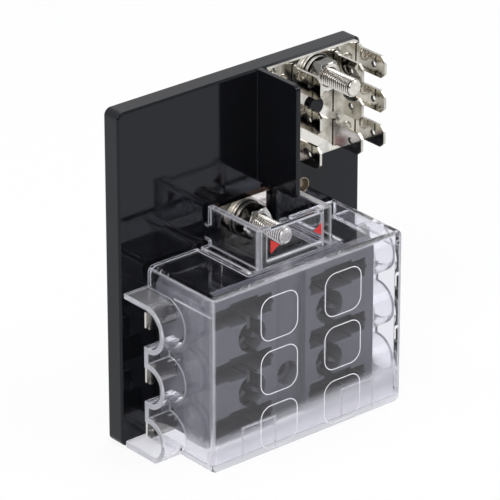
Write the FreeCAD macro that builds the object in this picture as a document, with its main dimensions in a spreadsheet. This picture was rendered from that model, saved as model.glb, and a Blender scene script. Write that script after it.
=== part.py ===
"""Blade fuse block: six blade fuse places under a clear cover, with a negative busbar beside it.

Axes: X to the right, Z up, Y to the back; the block faces -Y and stands on Z = 0.
Distances called 'n' are measured forward from the front face of the mounting plate.
"""
import FreeCAD
import Part
import Sketcher
import math
import os

Vector = FreeCAD.Vector
doc = FreeCAD.newDocument("blade_fuse_block")
sheet = doc.addObject("Spreadsheet::Sheet", "sizes")


# Sizes

class Size:
    """A length that knows both its number and how the sheet gives it."""

    def __init__(self, number, text):
        self.number = float(number)
        self.text = text

    def __add__(self, other):
        other = size_of(other)
        return Size(self.number + other.number, f"({self.text} + {other.text})")

    def __radd__(self, other):
        return size_of(other) + self

    def __sub__(self, other):
        other = size_of(other)
        return Size(self.number - other.number, f"({self.text} - {other.text})")

    def __rsub__(self, other):
        return size_of(other) - self

    def __mul__(self, other):
        other = size_of(other)
        return Size(self.number * other.number, f"({self.text} * {other.text})")

    def __rmul__(self, other):
        return size_of(other) * self

    def __truediv__(self, other):
        other = size_of(other)
        return Size(self.number / other.number, f"({self.text} / {other.text})")

    def __neg__(self):
        return Size(-self.number, f"(0 - {self.text})")


def size_of(value):
    if isinstance(value, Size):
        return value
    return Size(value, f"{value:g}" if value >= 0 else f"(0 - {-value:g})")


row_count = 0


def named(alias, number, meaning):
    """Put one value on the sheet, under the name that the model uses."""
    global row_count
    row_count += 1
    sheet.set(f"A{row_count}", meaning)
    sheet.set(f"B{row_count}", f"{number:g}")
    sheet.setAlias(f"B{row_count}", alias)
    return Size(number, f"sizes.{alias}")


plate_width = named("plate_width", 83.2, "mounting plate, across")
plate_height = named("plate_height", 96.5, "mounting plate, up")
plate_thick = named("plate_thick", 5.5, "mounting plate, front to back")
plate_corner = named("plate_corner", 2, "radius of the plate's corners")
cover_width = named("cover_width", 66.4, "clear cover over its side walls")
cover_height = named("cover_height", 51.5, "clear cover, up")
cover_reach = named("cover_reach", 27.4, "cover's front face, forward of the plate")
cover_wall = named("cover_wall", 1.8, "wall of the clear cover")
seat_gap = named("seat_gap", 0.2, "cover's rim to the plate")
row_pitch = named("row_pitch", 16, "one fuse row to the next")
row_base = named("row_base", 8, "lowest fuse row above the base")
column_x = named("column_x", 16.5, "fuse centre from the middle")
tunnel_span = named("tunnel_span", 81, "over the ends of the wire tunnels")
tunnel_axis = named("tunnel_axis", 10.1, "tunnel axis, forward of the plate")
tunnel_drop = named("tunnel_drop", 2, "tunnel axis below its fuse row")
tunnel_outer = named("tunnel_outer", 6.4, "outer radius of a wire tunnel")
tunnel_roof = named("tunnel_roof", 7.4, "outer radius of the top tunnel's upper half")
skirt_inside = named("skirt_inside", 8.4, "flat between the tunnels, its back, forward of the plate")
load_tab_back = named("load_tab_back", 7.1, "load tab's back face, forward of the plate")
cover_round = named("cover_round", 1.2, "rounding of the cover's front edges")
tunnel_wall = named("tunnel_wall", 1.45, "wall of a wire tunnel")
body_width = named("body_width", 59.2, "fuse body, across")
body_reach = named("body_reach", 19.5, "fuse body's front face, forward of the plate")
body_low = named("body_low", 2.8, "fuse body's underside")
body_top = named("body_top", 47.6, "fuse body's top")
recess_depth = named("recess_depth", 7, "depth of a fuse place")
fuse_long = named("fuse_long", 19.4, "fuse place, across")
fuse_thick = named("fuse_thick", 5.6, "fuse place, up")
blade_x = named("blade_x", 7.3, "fuse blade from the fuse's middle")
blade_slot = named("blade_slot", 5.8, "slot for a fuse blade, across")
blade_gap = named("blade_gap", 1.3, "slot for a fuse blade, up")
well_radius = named("well_radius", 4.7, "round well beside a fuse place")
well_x = named("well_x", 13.5, "round well from the middle")
well_depth = named("well_depth", 8, "depth of a round well")
wall_x = named("wall_x", 5.3, "left face of the dividing wall")
wall_thick = named("wall_thick", 1.4, "dividing wall")
wall_reach = named("wall_reach", 15.8, "dividing wall's front edge")
wall_low = named("wall_low", 64.4, "dividing wall's lower edge")
bus_left = named("bus_left", 8.2, "negative busbar's left edge")
bus_width = named("bus_width", 31.6, "negative busbar, across")
bus_low = named("bus_low", 66.3, "negative busbar's lower edge")
bus_height = named("bus_height", 29.8, "negative busbar, up")
sheet_metal = named("sheet_metal", 1.2, "busbar sheet")
tab_metal = named("tab_metal", 0.8, "metal of a 6.3 mm tab")
tab_width = named("tab_width", 6.3, "width of a tab")
tab_reach = named("tab_reach", 12.9, "tab's tip, forward of the plate")
tab_hole = named("tab_hole", 1.7, "hole in a tab")
tab_hole_back = named("tab_hole_back", 4.6, "tab's hole, back from the tip")
pair_gap = named("pair_gap", 8, "one leg of a tab pair to the other")
tab_pitch = named("tab_pitch", 10, "one tab row to the next")
tab_row = named("tab_row", 71.5, "lowest tab row above the base")
stud_radius = named("stud_radius", 2.5, "M5 thread")
stud_reach = named("stud_reach", 17.7, "stud's tip, forward of the plate")
stud_head = named("stud_head", 8, "hexagon of an M5 nut or head")
head_thick = named("head_thick", 2.7, "stud's head")
nut_thick = named("nut_thick", 4, "M5 nut")
nut_fit = named("nut_fit", 0.05, "nut's bore over the thread, radius")
washer_radius = named("washer_radius", 5, "flat washer")
washer_thick = named("washer_thick", 1, "flat washer")
spring_radius = named("spring_radius", 4.6, "spring washer")
spring_thick = named("spring_thick", 1.3, "spring washer")
pitch = named("pitch", 0.8, "M5 thread pitch")
supply_z = named("supply_z", 56, "positive stud above the base")
supply_width = named("supply_width", 17.6, "positive terminal, across")
supply_top = named("supply_top", 61.2, "positive terminal's top edge")
hood_width = named("hood_width", 25.2, "hood over the positive stud, across")
hood_reach = named("hood_reach", 21.7, "hood's front face, forward of the plate")
hood_top = named("hood_top", 62.5, "hood's top edge")
tongue_width = named("tongue_width", 30, "latch tongue, across")
tongue_slot = named("tongue_slot", 1.3, "slot beside the tongue")
tongue_root = named("tongue_root", 0.12, "parting at the tongue's root")
eyelet_x = named("eyelet_x", 21.4, "upper mounting hole from the middle")
eyelet_z = named("eyelet_z", 58.3, "upper mounting hole above the base")
lower_hole_z = named("lower_hole_z", 16, "lower mounting hole above the base")
hole_radius = named("hole_radius", 1.9, "mounting hole for an M3.5 screw")
back_recess = named("back_recess", 1.6, "recess for the back cover")
back_half = named("back_half", 30, "recess for the back cover, from the middle")
back_low = named("back_low", 2.4, "lower edge of that recess")
back_top = named("back_top", 49.6, "upper edge of that recess")
sleeve_half = named("sleeve_half", 3.5, "square sleeve round the lower hole, from its middle")
post_radius = named("post_radius", 2.4, "post through the negative busbar")
post_reach = named("post_reach", 2.4, "post's end, forward of the plate")
rivet_radius = named("rivet_radius", 2.1, "head of a rivet")
fit = named("fit", 0.15, "clearance round a part that drops in")
sheet.recompute()

# The middle of the whole depth lies at Y = 0.
plate_front = (cover_reach + plate_thick) / 2 - plate_thick


def y_at(n):
    """Y of a distance measured forward from the plate's front face."""
    return plate_front - n


# Ways of making

def bind(thing, prop, value):
    value = size_of(value)
    if "." not in prop:
        setattr(thing, prop, value.number)
    thing.setExpression(prop, value.text)


def place(thing, x, y, z):
    """Bind a position; the rotation stays as it was set."""
    spot = thing.Placement
    spot.Base = Vector(size_of(x).number, size_of(y).number, size_of(z).number)
    thing.Placement = spot
    bind(thing, "Placement.Base.x", x)
    bind(thing, "Placement.Base.y", y)
    bind(thing, "Placement.Base.z", z)
    return thing


def block(x0, x1, n0, n1, z0, z1):
    """A plain block between two planes each way."""
    made = doc.addObject("Part::Box", "block")
    bind(made, "Length", size_of(x1) - x0)
    bind(made, "Width", size_of(n1) - n0)
    bind(made, "Height", size_of(z1) - z0)
    return place(made, x0, y_at(n1), z0)


def rod(radius, n0, n1, x, z):
    """A round bar along Y."""
    made = doc.addObject("Part::Cylinder", "rod")
    bind(made, "Radius", radius)
    bind(made, "Height", size_of(n1) - n0)
    made.Placement.Rotation = FreeCAD.Rotation(Vector(1, 0, 0), 90)
    return place(made, x, y_at(n0), z)


def hexagon(across, n0, n1, x, z):
    """A hexagonal bar along Y, given over its flats."""
    made = doc.addObject("Part::Prism", "hexagon")
    made.Polygon = 6
    bind(made, "Circumradius", size_of(across) / math.sqrt(3).__round__(6))
    bind(made, "Height", size_of(n1) - n0)
    made.Placement.Rotation = FreeCAD.Rotation(Vector(1, 0, 0), 90)
    return place(made, x, y_at(n0), z)


def joined(things):
    if len(things) == 1:
        return things[0]
    made = doc.addObject("Part::MultiFuse", "joined")
    made.Shapes = things
    made.Refine = True
    return made


def without(base, tools):
    made = doc.addObject("Part::Cut", "cut")
    made.Base = base
    made.Tool = joined(tools)
    made.Refine = True
    return made


nodes = []


def finish(thing, label):
    """Name a finished piece; its label is its file's name."""
    thing.Label = label
    nodes.append(thing)
    return thing


def new_body(label):
    body = doc.addObject("PartDesign::Body", label)
    body.Label = label
    nodes.append(body)
    return body


def sketch_on(body, role, offset):
    """A sketch on one of the body's own planes, moved along its normal."""
    plane = [o for o in body.Origin.OriginFeatures if o.Role == role][0]
    sketch = body.newObject("Sketcher::SketchObject", "outline")
    sketch.AttachmentSupport = [(plane, "")]
    sketch.MapMode = "FlatFace"
    offset = size_of(offset)
    sketch.AttachmentOffset = FreeCAD.Placement(Vector(0, 0, offset.number), FreeCAD.Rotation())
    sketch.setExpression("AttachmentOffset.Base.z", offset.text)
    return sketch


def front_sketch(body, n):
    """A sketch that faces forward: its own axes are X and Z."""
    return sketch_on(body, "XZ_Plane", size_of(n) - plate_front)


def side_sketch(body, x):
    """A sketch that faces right: its own axes are Y and Z."""
    return sketch_on(body, "YZ_Plane", x)


def pin(sketch, geometry, point, u, v):
    """Hold one point of a sketch at two driving sizes from the origin."""
    for kind, value in (("DistanceX", size_of(u)), ("DistanceY", size_of(v))):
        index = sketch.addConstraint(Sketcher.Constraint(kind, -1, 1, geometry, point, value.number))
        sketch.setExpression(f"Constraints[{index}]", value.text)


def outline(sketch, corners):
    """A closed straight-sided outline through the given corners."""
    spots = [Vector(size_of(u).number, size_of(v).number, 0) for u, v in corners]
    first = sketch.GeometryCount
    count = len(corners)
    for i in range(count):
        sketch.addGeometry(Part.LineSegment(spots[i], spots[(i + 1) % count]), False)
    for i in range(count):
        j = first + (i + 1) % count
        sketch.addConstraint(Sketcher.Constraint("Coincident", first + i, 2, j, 1))
        pin(sketch, first + i, 1, corners[i][0], corners[i][1])


def rectangle(sketch, u0, u1, v0, v1):
    outline(sketch, [(u0, v0), (u1, v0), (u1, v1), (u0, v1)])


def circle(sketch, radius, u, v):
    radius = size_of(radius)
    spot = Vector(size_of(u).number, size_of(v).number, 0)
    index = sketch.addGeometry(Part.Circle(spot, Vector(0, 0, 1), radius.number), False)
    pin(sketch, index, 3, u, v)
    held = sketch.addConstraint(Sketcher.Constraint("Radius", index, radius.number))
    sketch.setExpression(f"Constraints[{held}]", radius.text)


def rounded_path(sketch, corners, radius):
    """A closed outline whose right-angled corners are rounded by one radius."""
    radius = size_of(radius)
    r = radius.number
    count = len(corners)
    spots = [Vector(size_of(u).number, size_of(v).number, 0) for u, v in corners]
    first = sketch.GeometryCount
    ends = []
    for i in range(count):
        back = (spots[i - 1] - spots[i]).normalize()
        ahead = (spots[(i + 1) % count] - spots[i]).normalize()
        ends.append((spots[i] + back * r, spots[i] + ahead * r, back, ahead))
    for i in range(count):
        start, stop, back, ahead = ends[i]
        centre = spots[i] + (back + ahead) * r
        middle = centre - (back + ahead).normalize() * r
        sketch.addGeometry(Part.Arc(start, middle, stop), False)
        sketch.addGeometry(Part.LineSegment(stop, ends[(i + 1) % count][0]), False)
    for i in range(count):
        arc = first + 2 * i
        back, ahead = ends[i][2], ends[i][3]
        turn = back.cross(ahead).z
        head, tail = (1, 2) if turn < 0 else (2, 1)
        before = first + (2 * i - 1) % (2 * count)
        u = size_of(corners[i][0]) + radius * round(back.x + ahead.x)
        v = size_of(corners[i][1]) + radius * round(back.y + ahead.y)
        sketch.addConstraint(Sketcher.Constraint("Tangent", before, 2, arc, head))
        sketch.addConstraint(Sketcher.Constraint("Tangent", arc, tail, arc + 1, 1))
        pin(sketch, arc, 3, u, v)
        if i == 0:
            held = sketch.addConstraint(Sketcher.Constraint("Radius", arc, r))
            sketch.setExpression(f"Constraints[{held}]", radius.text)


def rounded(sketch, u0, u1, v0, v1, radius):
    rounded_path(sketch, [(u0, v0), (u1, v0), (u1, v1), (u0, v1)], radius)


def pad(body, sketch, length, both=False):
    made = body.newObject("PartDesign::Pad", "pad")
    made.Profile = sketch
    sketch.Visibility = False
    if both:
        made.SideType = "Symmetric"
    bind(made, "Length", length)
    body.Tip = made
    return made


def pocket(body, sketch, length, both=False):
    """Cut from the sketch against its normal."""
    made = body.newObject("PartDesign::Pocket", "pocket")
    made.Profile = sketch
    sketch.Visibility = False
    if both:
        made.SideType = "Symmetric"
    bind(made, "Length", length)
    body.Tip = made
    return made


def soften(body, radius, wanted):
    """Round the edges of the last feature that the test picks."""
    doc.recompute()
    base = body.Tip
    names = [f"Edge{i + 1}" for i, edge in enumerate(base.Shape.Edges) if wanted(edge.BoundBox, edge)]
    made = body.newObject("PartDesign::Fillet", "soft")
    made.Base = (base, names)
    bind(made, "Radius", radius)
    body.Tip = made
    return made


def bevel(body, size, wanted):
    """Chamfer the edges of the last feature that the test picks."""
    doc.recompute()
    base = body.Tip
    names = [f"Edge{i + 1}" for i, edge in enumerate(base.Shape.Edges) if wanted(edge.BoundBox, edge)]
    made = body.newObject("PartDesign::Chamfer", "bevel")
    made.Base = (base, names)
    bind(made, "Size", size)
    body.Tip = made
    return made


def at(value, target):
    return abs(value - size_of(target).number) < 0.01


rows = [row_base + row_pitch * i for i in range(3)]
sides = (-1, 1)
half_plate = plate_width / 2
half_body = body_width / 2
half_cover = cover_width / 2
bus_right = bus_left + bus_width
bus_top = bus_low + bus_height
bus_middle = bus_left + bus_width / 2
tab_rows = [tab_row + tab_pitch * i for i in range(3)]
negative_z = tab_rows[2]
outer_tab = bus_width / 2 - tab_metal / 2 - 0.1
pair_middles = [bus_middle - outer_tab + pair_gap / 2, bus_middle + outer_tab - pair_gap / 2]
slot_floor = body_reach - recess_depth
lid = 0.8
blades = [(side, column_x - blade_x, column_x + blade_x) for side in sides]


# Housing: mounting plate, fuse body and dividing wall, one black moulding

def make_housing():
    body = new_body("housing")
    sketch = front_sketch(body, -plate_thick)
    rounded(sketch, -half_plate, half_plate, 0, plate_height, plate_corner)
    pad(body, sketch, plate_thick)
    bevel(body, 0.5, lambda box, edge: at(box.YMin, y_at(0)) and at(box.YMax, y_at(0)))

    sketch = front_sketch(body, 0)
    rounded(sketch, -half_body, half_body, body_low, body_top, 3)
    pad(body, sketch, body_reach)
    bevel(body, 0.5, lambda box, edge: at(box.YMin, y_at(body_reach)) and at(box.YMax, y_at(body_reach)))

    sketch = side_sketch(body, wall_x)
    outline(sketch, [(y_at(0), wall_low), (y_at(wall_reach), wall_low),
                     (y_at(wall_reach), plate_height), (y_at(0), plate_height)])
    pad(body, sketch, wall_thick)
    soften(body, 1.6, lambda box, edge: at(box.YMin, y_at(wall_reach)) and at(box.YMax, y_at(wall_reach))
           and box.ZLength < 0.1)

    # Low walls on both sides of the positive terminal.
    sketch = front_sketch(body, 0)
    for side in sides:
        near = (supply_width / 2 + 0.3) * side
        far = (supply_width / 2 + 1.5) * side
        low, high = (near, far) if side > 0 else (far, near)
        rectangle(sketch, low, high, body_top - 1, supply_top)
    pad(body, sketch, 3.2)

    # Post between the negative tabs, through the busbar.
    sketch = front_sketch(body, -0.5)
    circle(sketch, post_radius, bus_middle, tab_rows[1])
    pad(body, sketch, post_reach + 0.5)

    # Shallow recess down the middle, between the two columns.
    sketch = front_sketch(body, body_reach + 1)
    rectangle(sketch, -5, 5, body_low - 1, body_top + 1)
    pocket(body, sketch, 2.6)

    # Fuse places: a long recess with a wider middle.
    sketch = front_sketch(body, body_reach + 1)
    for side in sides:
        middle = column_x * side
        for z in rows:
            long = fuse_long / 2
            step = fuse_long / 4
            thin = fuse_thick / 2
            wide = fuse_thick / 2 + 0.7
            outline(sketch, [(middle - long, z - thin), (middle - step, z - thin), (middle - step, z - wide),
                             (middle + step, z - wide), (middle + step, z - thin), (middle + long, z - thin),
                             (middle + long, z + thin), (middle + step, z + thin), (middle + step, z + wide),
                             (middle - step, z + wide), (middle - step, z + thin), (middle - long, z + thin)])
    pocket(body, sketch, recess_depth + 1)

    # Slots for the fuse blades.
    sketch = front_sketch(body, body_reach)
    for side, near, far in blades:
        for z in rows:
            for x in (near * side, far * side):
                rectangle(sketch, x - blade_slot / 2, x + blade_slot / 2, z - blade_gap / 2, z + blade_gap / 2)
    pocket(body, sketch, recess_depth + 2)

    # Round wells below the two upper rows.
    sketch = front_sketch(body, body_reach + 1)
    for side in sides:
        for z in rows[1:]:
            circle(sketch, well_radius, well_x * side, z - row_pitch / 2)
    pocket(body, sketch, well_depth + 1)

    # Three webs in each well.
    sketch = front_sketch(body, body_reach - well_depth - 0.2)
    for side in sides:
        for z in rows[1:]:
            centre_x = well_x * side
            centre_z = z - row_pitch / 2
            for k in range(3):
                angle = math.radians(90 + 120 * k)
                along = (math.cos(angle), math.sin(angle))
                across = (-along[1] * 0.6, along[0] * 0.6)
                corners = []
                for reach, way in ((1.5, -1), (4.95, -1), (4.95, 1), (1.5, 1)):
                    u = round(along[0] * reach + across[0] * way, 4)
                    v = round(along[1] * reach + across[1] * way, 4)
                    corners.append((centre_x + u, centre_z + v))
                outline(sketch, corners)
    pad(body, sketch, well_depth - 1.5)

    # Back: recess for the back cover, then room for the live parts.
    sketch = front_sketch(body, back_recess - plate_thick)
    rectangle(sketch, -back_half, back_half, back_low, back_top)
    pocket(body, sketch, back_recess + 1)
    sketch = front_sketch(body, sheet_metal)
    rectangle(sketch, -26.9, 26.9, 4.6, 45.4)
    pocket(body, sketch, plate_thick + sheet_metal)

    # The positive busbar's neck passes up through the body's top.
    sketch = front_sketch(body, sheet_metal + 0.05)
    rectangle(sketch, -supply_width / 2 - fit, supply_width / 2 + fit, 44, body_top + 1)
    pocket(body, sketch, sheet_metal + 0.05)

    # Chambers for the clips, open to the back.
    sketch = front_sketch(body, slot_floor - lid)
    for side, near, far in blades:
        for z in rows:
            rectangle(sketch, near * side - 3.3, near * side + 3.3, z - 3.6, z + 3.6)
            rectangle(sketch, far * side - 3.8, far * side + 3.8, z - 3.6, z + 3.6)
    pocket(body, sketch, slot_floor - lid)

    # Slits through the body's sides for the load tabs.
    for side in sides:
        sketch = side_sketch(body, 0)
        for z in rows:
            rectangle(sketch, y_at(load_tab_back + tab_metal + fit), y_at(load_tab_back - fit), z - tab_width / 2 - fit, z + tab_width / 2 + fit)
        made = pocket(body, sketch, half_body + 1)
        made.Reversed = side > 0
        doc.recompute()

    # Pockets in the plate under the negative tab pairs.
    sketch = front_sketch(body, 0)
    for x in pair_middles:
        for z in tab_rows:
            rectangle(sketch, x - pair_gap / 2 - tab_metal / 2 - fit, x + pair_gap / 2 + tab_metal / 2 + fit,
                      z - 3.7 - fit, z + 3.7 + fit)
    pocket(body, sketch, tab_metal + 0.05)

    # Bores and hexagonal seats for the two studs.
    sketch = front_sketch(body, 1)
    circle(sketch, stud_radius + fit, bus_middle, negative_z)
    circle(sketch, stud_radius + fit, 0, supply_z)
    pocket(body, sketch, plate_thick + 2)
    sketch = front_sketch(body, head_thick - plate_thick)
    for x, z in ((bus_middle, negative_z), (size_of(0), supply_z)):
        reach = stud_head / 2 + fit
        corners = []
        for k in range(6):
            angle = math.radians(60 * k)
            grow = 1 / math.cos(math.radians(30))
            corners.append((x + reach * round(math.cos(angle) * grow, 6), z + reach * round(math.sin(angle) * grow, 6)))
        outline(sketch, corners)
    pocket(body, sketch, head_thick + 1)

    # Mounting holes: one in the open plate, one in the recess between the columns.
    sketch = front_sketch(body, 1)
    circle(sketch, hole_radius + 0.4, eyelet_x, eyelet_z)
    pocket(body, sketch, plate_thick + 2)
    sketch = front_sketch(body, -plate_thick)
    rectangle(sketch, -sleeve_half, sleeve_half, lower_hole_z - sleeve_half, lower_hole_z + sleeve_half)
    pad(body, sketch, plate_thick + 4)
    sketch = front_sketch(body, body_reach)
    circle(sketch, hole_radius, 0, lower_hole_z)
    pocket(body, sketch, body_reach + plate_thick)
    sketch = front_sketch(body, body_reach)
    circle(sketch, 3.4, 0, lower_hole_z)
    pocket(body, sketch, 4.5)

    # Slots in the plate for the latch's two hooks.
    for side in sides:
        near, far = hood_width / 2 - cover_wall - 0.3, hood_width / 2 + 0.3
        low, high = (near, far) if side > 0 else (-far, -near)
        sketch = front_sketch(body, 0)
        rectangle(sketch, low, high, 51.0, 57.3)
        pocket(body, sketch, 2.8)
    return body


# Back cover, a thin black plate let into the back, with posts that hold the live parts

def make_back_cover():
    body = new_body("back_cover")
    sketch = front_sketch(body, -plate_thick)
    rectangle(sketch, fit - back_half, back_half - fit, back_low + fit, back_top - fit)
    pad(body, sketch, back_recess)
    sketch = front_sketch(body, back_recess - plate_thick)
    for z in rows:
        for side in sides:
            middle = (column_x + blade_x) * side
            rectangle(sketch, middle - 2, middle + 2, z - 2, z + 2)
    pad(body, sketch, plate_thick - back_recess + 3 - 0.05)
    sketch = front_sketch(body, back_recess - plate_thick)
    for z in (size_of(8), size_of(26), size_of(40)):
        rectangle(sketch, -1.5, 1.5, z - 1.5, z + 1.5)
    pad(body, sketch, plate_thick - back_recess - 0.05)
    # Opening round the lower mounting screw's sleeve.
    room = sleeve_half + fit
    sketch = front_sketch(body, back_recess - plate_thick + 1)
    rectangle(sketch, -room, room, lower_hole_z - room, lower_hole_z + room)
    pocket(body, sketch, back_recess + 2)
    return body


# Negative busbar, its tab pairs and rivets

def make_negative_busbar():
    body = new_body("negative_busbar")
    sketch = front_sketch(body, 0)
    rounded(sketch, bus_left, bus_right, bus_low, bus_top, 0.8)
    pad(body, sketch, sheet_metal)
    sketch = front_sketch(body, sheet_metal + 1)
    for x in pair_middles:
        for side in sides:
            leg = x + pair_gap / 2 * side
            for z in tab_rows:
                rectangle(sketch, leg - 0.65, leg + 0.65, z - 3.9, z + 3.9)
    pocket(body, sketch, sheet_metal + 2)
    sketch = front_sketch(body, sheet_metal + 1)
    circle(sketch, stud_radius + 0.1, bus_middle, negative_z)
    circle(sketch, post_radius + fit, bus_middle, tab_rows[1])
    pocket(body, sketch, sheet_metal + 2)
    return body


def tab_leg(x, z, foot):
    """One upright leg of a tab pair: shouldered at the foot, bevelled at the tip."""
    body = doc.addObject("PartDesign::Body", "leg")
    sketch = side_sketch(body, x - tab_metal / 2)
    half = tab_width / 2
    tip = tab_reach
    outline(sketch, [(y_at(-tab_metal), z - half - 0.5), (y_at(foot), z - half - 0.5), (y_at(foot + 0.9), z - half),
                     (y_at(tip - 1.6), z - half), (y_at(tip), z - half + 1.5),
                     (y_at(tip), z + half - 1.5), (y_at(tip - 1.6), z + half), (y_at(foot + 0.9), z + half),
                     (y_at(foot), z + half + 0.5), (y_at(-tab_metal), z + half + 0.5)])
    pad(body, sketch, tab_metal)
    sketch = side_sketch(body, x + 2)
    circle(sketch, tab_hole / 2, y_at(tip - tab_hole_back), z)
    pocket(body, sketch, 4)
    doc.recompute()
    tip_y = y_at(tip)
    base = body.Tip
    names = [f"Edge{i + 1}" for i, edge in enumerate(base.Shape.Edges)
             if at(edge.BoundBox.YMin, tip_y) and at(edge.BoundBox.YMax, tip_y) and edge.BoundBox.ZLength > 1]
    bevel = body.newObject("PartDesign::Chamfer", "bevel")
    bevel.Base = (base, names)
    bevel.ChamferType = "Two distances"
    bevel.Size = 0.25
    bevel.Size2 = 0.25
    body.Tip = bevel
    return body


def make_tab_pairs():
    """Six U-shaped pieces, each with two 6.3 mm tabs."""
    count = 0
    for z in reversed(tab_rows):
        for x in pair_middles:
            count += 1
            base = block(x - pair_gap / 2, x + pair_gap / 2, -tab_metal, 0, z - 3.65, z + 3.65)
            legs = [tab_leg(x - pair_gap / 2, z, sheet_metal + 1), tab_leg(x + pair_gap / 2, z, sheet_metal + 1)]
            finish(joined([base] + legs), f"negative_tab_pair_{count}")


def make_rivets():
    """The formed heads of six rivets, one over each tab pair."""
    heads = [rod(rivet_radius, sheet_metal, sheet_metal + 0.5, x, z) for x in pair_middles for z in tab_rows]
    group = doc.addObject("Part::Compound", "rivets")
    group.Links = heads
    return finish(group, "negative_rivets")


# Studs with their washers and nuts

def make_stud(label, x, z):
    """A hexagon-headed M5 stud that stands through the plate."""
    head = hexagon(stud_head, -plate_thick, head_thick - plate_thick, x, z)
    shank = rod(stud_radius, head_thick - plate_thick, stud_reach, x, z)
    return finish(joined([head, shank]), label)


def ring_body(label, outer, inner, n0, n1, x, z):
    """A washer: one half-section turned about the stud's axis."""
    body = new_body(label)
    plane = sketch_on(body, "YZ_Plane", x)
    low, high = y_at(n1), y_at(n0)
    outer = size_of(outer)
    outline(plane, [(low, z + inner), (low, z + outer), (high, z + outer), (high, z + inner)])
    axis_line = plane.addGeometry(Part.LineSegment(Vector(low.number, size_of(z).number, 0),
                                                   Vector(high.number, size_of(z).number, 0)), True)
    pin(plane, axis_line, 1, low, z)
    pin(plane, axis_line, 2, high, z)
    made = body.newObject("PartDesign::Revolution", "turned")
    made.Profile = plane
    made.ReferenceAxis = (plane, ["Axis0"])
    made.Angle = 360
    body.Tip = made
    return body


def make_fastening(name, x, z):
    make_stud(f"{name}_stud", x, z)
    seat = sheet_metal
    ring_body(f"{name}_flat_washer", washer_radius, stud_radius + 0.2, seat, seat + washer_thick, x, z)
    body = ring_body(f"{name}_spring_washer", spring_radius, stud_radius + 0.15, seat + washer_thick,
                     seat + washer_thick + spring_thick, x, z)
    # The spring washer's slanting split.
    sketch = side_sketch(body, size_of(x) + 1.5)
    front, back = y_at(seat + washer_thick + spring_thick + 0.3), y_at(seat + washer_thick - 0.3)
    outline(sketch, [(front, z + 1.1), (back, z + 0.1), (back, z - 0.6), (front, z + 0.4)])
    split = pocket(body, sketch, 5)
    split.Reversed = True
    low = seat + washer_thick + spring_thick
    nut = without(hexagon(stud_head, low, low + nut_thick, x, z),
                  [rod(stud_radius + nut_fit, low - 1, low + nut_thick + 1, x, z)])
    finish(nut, f"{name}_nut")


# Positive busbar: terminal above the body, comb inside it

def make_positive_busbar():
    body = new_body("positive_busbar")
    half = supply_width / 2
    stem = size_of(5.6)
    reach = column_x - blade_x + 2.6
    corners = [(stem, 6)]
    for z in rows:
        corners += [(stem, z - 2.8), (reach, z - 2.8), (reach, z + 2.8), (stem, z + 2.8)]
    corners = corners[1:]
    corners += [(stem, 44.6), (half, 44.6), (half, supply_top), (-half, supply_top), (-half, 44.6), (-stem, 44.6)]
    for z in reversed(rows):
        corners += [(-stem, z + 2.8), (-reach, z + 2.8), (-reach, z - 2.8), (-stem, z - 2.8)]
    sketch = front_sketch(body, 0)
    outline(sketch, corners)
    pad(body, sketch, sheet_metal)
    sketch = front_sketch(body, sheet_metal + 1)
    circle(sketch, stud_radius + 0.1, 0, supply_z)
    pocket(body, sketch, sheet_metal + 2)
    # Room round the lower mounting screw's sleeve.
    room = sleeve_half + fit
    sketch = front_sketch(body, sheet_metal + 1)
    rectangle(sketch, -room, room, lower_hole_z - room, lower_hole_z + room)
    pocket(body, sketch, sheet_metal + 2)
    return body


# Fuse clips: two bowed leaves on a base

def clip_outline(sketch, foot, z):
    """The clip seen from the side: a base and two leaves that close on the blade."""
    metal = 0.5
    mouth = slot_floor - lid - 0.3
    neck = mouth - 1.8
    shape = [(foot, 2.9), (foot + 2, 2.6), (neck, 0.4), (mouth, 1.3)]
    outside = [(y_at(n), z + (w + metal)) for n, w in shape]
    inside = [(y_at(n), z + w) for n, w in reversed(shape[1:])]
    floor = [(y_at(foot + metal), z + 2.75)]
    mirrored_floor = [(y_at(foot + metal), z - 2.75)]
    inside_low = [(y_at(n), z - w) for n, w in shape[1:]]
    outside_low = [(y_at(n), z - (w + metal)) for n, w in reversed(shape)]
    outline(sketch, outside + inside + floor + mirrored_floor + inside_low + outside_low)


def make_supply_clips():
    count = 0
    for z in reversed(rows):
        for side, near, far in blades:
            count += 1
            body = new_body(f"supply_clip_{count}")
            sketch = side_sketch(body, near * side - 2.5)
            clip_outline(sketch, sheet_metal, z)
            pad(body, sketch, 5)


def make_load_terminals():
    """A clip like the supply clips, with a 6.3 mm tab that leaves through the body's side."""
    count = 0
    for z in reversed(rows):
        for side, near, far in blades:
            count += 1
            middle = far * side
            body = doc.addObject("PartDesign::Body", "clip")
            sketch = side_sketch(body, middle - 2.5)
            clip_outline(sketch, size_of(3), z)
            pad(body, sketch, 5)
            inner = middle + 2.3 * side
            bend = middle + 3.4 * side
            riser = middle + 2.6 * side
            tip = (tunnel_span / 2 - 1.2) * side
            half = tab_width / 2

            def between(a, b, n0, n1, z0, z1):
                return block(a, b, n0, n1, z0, z1) if side > 0 else block(b, a, n0, n1, z0, z1)

            foot = between(inner, bend, size_of(3), size_of(3) + tab_metal, z - 2.9, z + 2.9)
            web = between(riser, bend, size_of(3), load_tab_back + tab_metal, z - 2.9, z + 2.9)
            arm = between(riser, tip - 1.2 * side, load_tab_back, load_tab_back + tab_metal, z - half, z + half)
            nose = between(tip - 1.2 * side, tip, load_tab_back + 0.1, load_tab_back + tab_metal - 0.1,
                           z - half + 0.9, z + half - 0.9)
            finish(joined([body, foot, web, arm, nose]), f"load_terminal_{count}")


def make_eyelet():
    """A metal eyelet that lines the upper mounting hole, flush with the plate."""
    tube = rod(hole_radius + 0.35, -plate_thick, size_of(0), eyelet_x, eyelet_z)
    return finish(without(tube, [rod(hole_radius, -plate_thick - 1, size_of(2), eyelet_x, eyelet_z)]),
                  "mounting_eyelet")


# Clear cover with its wire tunnels

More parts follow.
